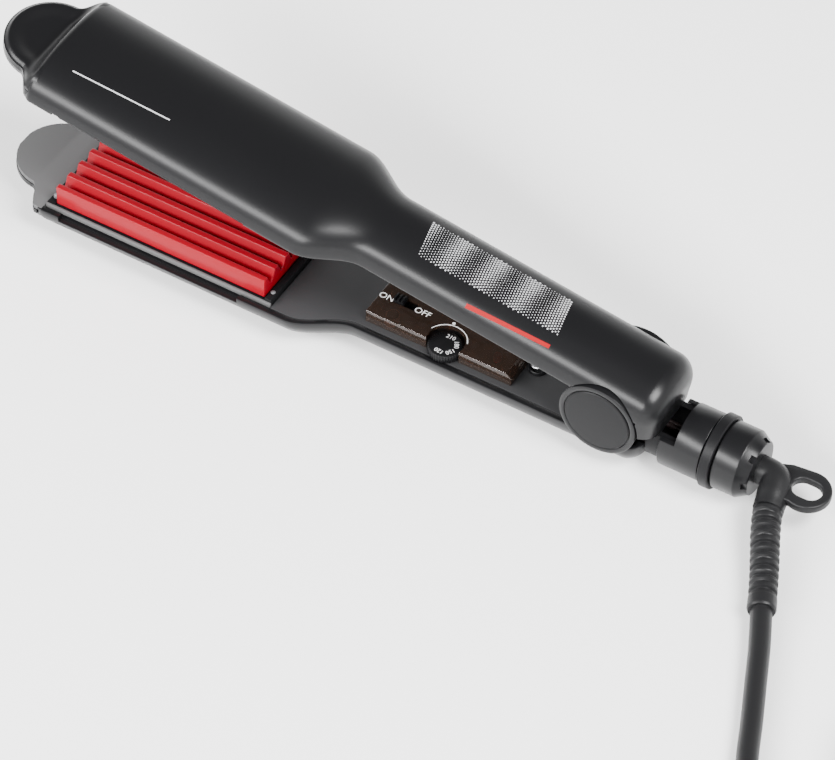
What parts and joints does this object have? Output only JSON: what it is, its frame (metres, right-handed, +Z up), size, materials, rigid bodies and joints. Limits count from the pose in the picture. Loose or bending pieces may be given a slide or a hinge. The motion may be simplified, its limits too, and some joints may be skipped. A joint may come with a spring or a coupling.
{
  "type": "hair crimper",
  "caption": "Hair crimper with sprung arms, ridged heating plates that mesh, a dial and switch under a smoked window, a lock sleeve and a swivelling mains cord.",
  "frame": {"origin": "centre of the footprint of the arms and swivel on the surface they rest on, at the lowest point of the lower arm and flange", "axes": "+X towards the cord end, +Y across the arms away from the hanging cord, +Z up from the lower arm to the upper arm"},
  "size_m": [0.503, 0.1626, 0.0756],
  "materials": {
    "satin_black": "satin",
    "soft_black": "matte",
    "cover_grey": "matte",
    "red_plate": "satin ceramic coat",
    "steel": "brushed",
    "ceramic": "matte",
    "brass": "satin",
    "board_green": "satin",
    "copper": "enamelled wire",
    "smoked": "smoked clear plastic",
    "led_red": "clear red",
    "wire_red": "silicone sleeve",
    "cord_black": "satin rubber",
    "nickel": "nickel plate"
  },
  "bodies": {
    "base": {"lower_shell": "satin_black", "lower_tip_cover": "cover_grey", "lower_handle_cover": "cover_grey", "lower_plate_carrier": "soft_black", "lower_crimp_plate": "red_plate", "lower_heater": "ceramic", "lower_heater_clip": "steel", "lower_plate_pins": "steel", "thermal_fuse": "ceramic", "lower_screws": "steel", "lower_lead_wires": "wire_red", "circuit_board": "board_green", "coil_inductor": "copper", "switch_body": "soft_black", "dial_potentiometer": "soft_black", "power_led": "led_red", "control_window": "smoked", "hinge_pin": "steel", "near_hinge_cap": "satin_black", "far_hinge_cap": "satin_black", "spring_seat": "soft_black", "opening_spring": "steel", "swivel_core": "soft_black", "swivel_collar": "satin_black", "brush_block": "soft_black", "cord_lead": "cord_black", "cord_coil": "cord_black", "cord_tie": "cord_black", "cord_tail": "cord_black", "plug_body": "cord_black", "plug_pins": "nickel"},
    "sleeve": {"lock_sleeve": "satin_black"},
    "switch": {"switch_knob": "soft_black"},
    "dial": {"temperature_dial": "soft_black"},
    "upper_arm": {"upper_shell": "satin_black", "upper_tip_cover": "cover_grey", "upper_handle_cover": "cover_grey", "upper_plate_carrier": "soft_black", "upper_crimp_plate": "red_plate", "upper_heater": "ceramic", "upper_heater_clip": "steel", "temperature_sensor": "ceramic", "upper_plate_pins": "steel", "upper_screws": "steel", "upper_lead_wires": "wire_red", "hinge_bushes": "brass"},
    "swivel": {"swivel_spindle": "soft_black", "slip_rings": "brass", "cord_elbow": "cord_black", "strain_relief": "cord_black"}
  },
  "joints": [
    {"name": "arm_hinge", "type": "hinge", "parent": "base", "child": "upper_arm", "pos_m": [0.09435, 0, 0.0214], "axis": [0, -1, 0], "range_deg": [0, 8.75], "stiffness_Nm_per_rad": 1.2, "springref_deg": -20.05, "deforming": ["opening_spring"]},
    {"name": "lock_slide", "type": "slide", "parent": "base", "child": "sleeve", "axis": [-1, 0, 0], "range_m": [0, 0.0045]},
    {"name": "switch_slide", "type": "slide", "parent": "base", "child": "switch", "axis": [1, 0, 0], "range_m": [0, 0.004]},
    {"name": "dial_turn", "type": "hinge", "parent": "base", "child": "dial", "pos_m": [0.03235, -0.0095, 0.0134], "axis": [0, 0, 1], "range_deg": [-250, 20]},
    {"name": "cord_swivel", "type": "hinge", "parent": "base", "child": "swivel", "pos_m": [0.1, 0, 0.0133], "axis": [-1, 0, 0], "continuous": true}
  ]
}
